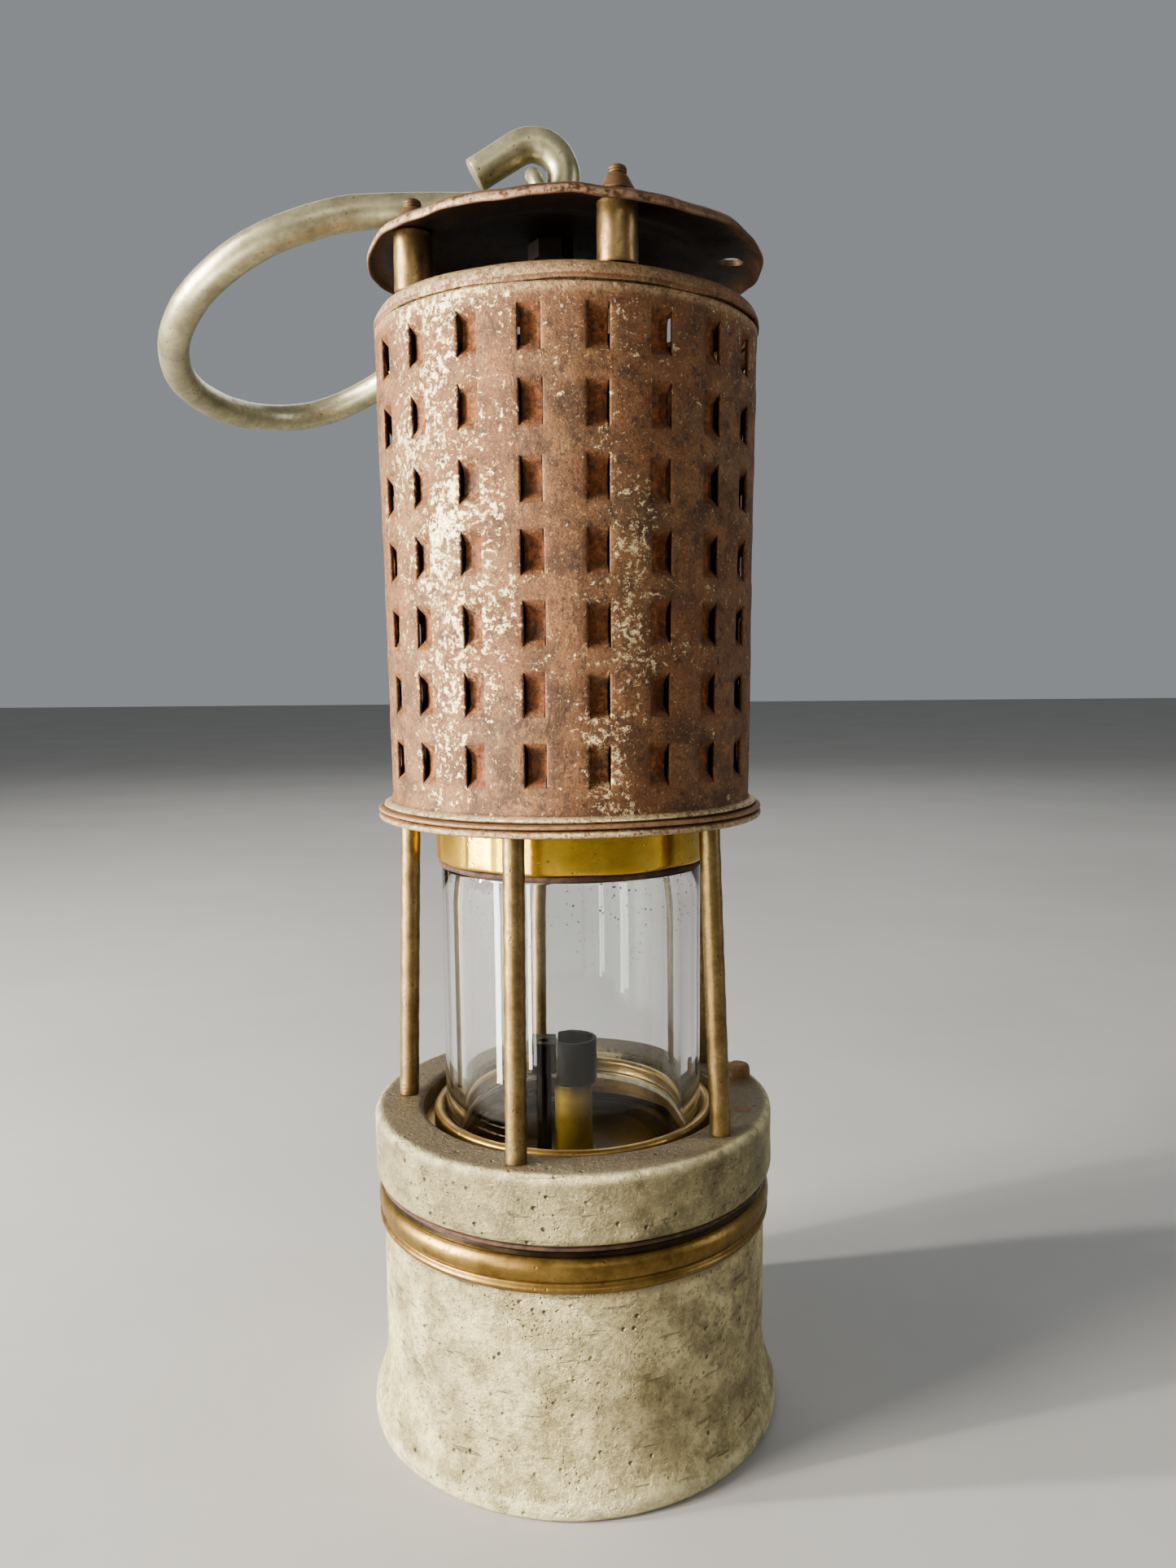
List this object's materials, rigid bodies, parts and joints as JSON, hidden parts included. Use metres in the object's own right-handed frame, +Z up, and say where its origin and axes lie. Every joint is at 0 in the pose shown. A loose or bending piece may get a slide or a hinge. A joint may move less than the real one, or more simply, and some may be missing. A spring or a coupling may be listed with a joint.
{
  "type": "miner's flame safety lamp",
  "caption": "Miner's flame safety lamp: fuel vessel with wick and igniter, glass between brass pillars, double gauze, louvred bonnet, vented cap and swivel hook.",
  "frame": {"origin": "centre of the foot's flat rim, on the table", "axes": "+Z up along the lamp's axis, -Y towards the front, +X to the right; the hook hangs over to -X and +Y"},
  "size_m": [0.1367, 0.1268, 0.2665],
  "materials": {
    "cast_aluminium": "chalky",
    "old_brass": "tarnished",
    "bright_brass": "satin",
    "rusty_steel": "rusty",
    "tinned_steel": "worn and rusty",
    "galvanised": "dull",
    "plain_steel": "satin",
    "sooty_steel": "sooty",
    "clear_glass": "clear",
    "gasket_fibre": "matt",
    "cotton": "matt",
    "gauze_wire": "sooty"
  },
  "bodies": {
    "vessel": {"fuel_vessel": "cast_aluminium", "brass_band": "old_brass", "vessel_cover": "old_brass", "lock_ratchet": "plain_steel", "cotton_packing": "cotton", "wick_tube": "bright_brass", "flame_guard": "sooty_steel", "igniter_case": "sooty_steel", "flint": "plain_steel", "flint_spring": "plain_steel", "gland_nuts": "old_brass"},
    "plug_gasket": {"filler_gasket": "gasket_fibre"},
    "plug": {"filler_plug": "old_brass"},
    "wick_group": {"wick": "cotton", "wick_carrier": "old_brass"},
    "adjuster": {"wick_screw": "old_brass", "wick_knob": "old_brass"},
    "igniter": {"igniter_spindle": "plain_steel", "striker_wheel": "plain_steel", "igniter_knob": "old_brass"},
    "seal": {"sealing_washer": "gasket_fibre"},
    "frame": {"collar": "cast_aluminium", "glass_retainer": "old_brass", "glass_seat": "old_brass", "lower_gasket": "gasket_fibre", "glass_cylinder": "clear_glass", "upper_gasket": "gasket_fibre", "gauze_ring": "bright_brass", "middle_plate": "tinned_steel", "pillars": "old_brass", "lock_plug": "rusty_steel", "lock_spring": "plain_steel", "lock_pin": "rusty_steel", "gauze_foot": "old_brass", "outer_gauze": "gauze_wire", "inner_gauze": "gauze_wire", "bonnet_ring": "rusty_steel", "bonnet_shell": "tinned_steel", "bonnet_crown": "tinned_steel", "cap_studs": "old_brass", "cap_spacers": "old_brass", "cap": "rusty_steel", "cap_nuts": "old_brass"},
    "lock": {"lock_plunger": "plain_steel"},
    "swivel": {"swivel_eye": "galvanised", "swivel_nut": "rusty_steel"},
    "hook": {"hook": "galvanised"}
  },
  "joints": [
    {"name": "seal_lift", "type": "slide", "parent": "vessel", "child": "seal", "axis": [0, 0, 1], "range_m": [0, 0.006]},
    {"name": "unscrew", "type": "hinge", "parent": "seal", "child": "frame", "pos_m": [0, 0, 0.0538], "axis": [0, 0, 1], "range_deg": [0, 1440]},
    {"name": "lock_lift", "type": "slide", "parent": "frame", "child": "lock", "axis": [0, 0, 1], "range_m": [0, 0.0025], "stiffness_N_per_m": 200, "springref_m": -0.003, "deforming": ["lock_spring"]},
    {"name": "hook_swivel", "type": "hinge", "parent": "frame", "child": "swivel", "pos_m": [-0.003, 0, 0.2459], "axis": [0, 0, 1], "continuous": true},
    {"name": "hook_tilt", "type": "hinge", "parent": "swivel", "child": "hook", "pos_m": [-0.0065, 0, 0.257], "axis": [0, 1, 0], "range_deg": [0, 190]},
    {"name": "wick_height", "type": "slide", "parent": "vessel", "child": "wick_group", "axis": [0, 0, 1], "range_m": [-0.003, 0.003]},
    {"name": "wick_adjust", "type": "hinge", "parent": "vessel", "child": "adjuster", "pos_m": [0.01, 0, 0.01], "axis": [0, 0, 1], "range_deg": [-540, 540]},
    {"name": "igniter_turn", "type": "hinge", "parent": "vessel", "child": "igniter", "pos_m": [-0.0063, 0, 0.01], "axis": [0, 0, 1], "continuous": true},
    {"name": "plug_lift", "type": "slide", "parent": "vessel", "child": "plug_gasket", "axis": [0, 0, -1], "range_m": [0, 0.005]},
    {"name": "plug_turn", "type": "hinge", "parent": "plug_gasket", "child": "plug", "pos_m": [0, 0.025, 0.008], "axis": [0, 0, 1], "range_deg": [0, 1800]}
  ],
  "couplings": [
    {"joint": "seal_lift", "follows": "unscrew", "m_per_rad": 0.00023873},
    {"joint": "wick_adjust", "follows": "wick_height", "rad_per_m": 3141.6},
    {"joint": "plug_turn", "follows": "plug_lift", "rad_per_m": 6283.2}
  ]
}
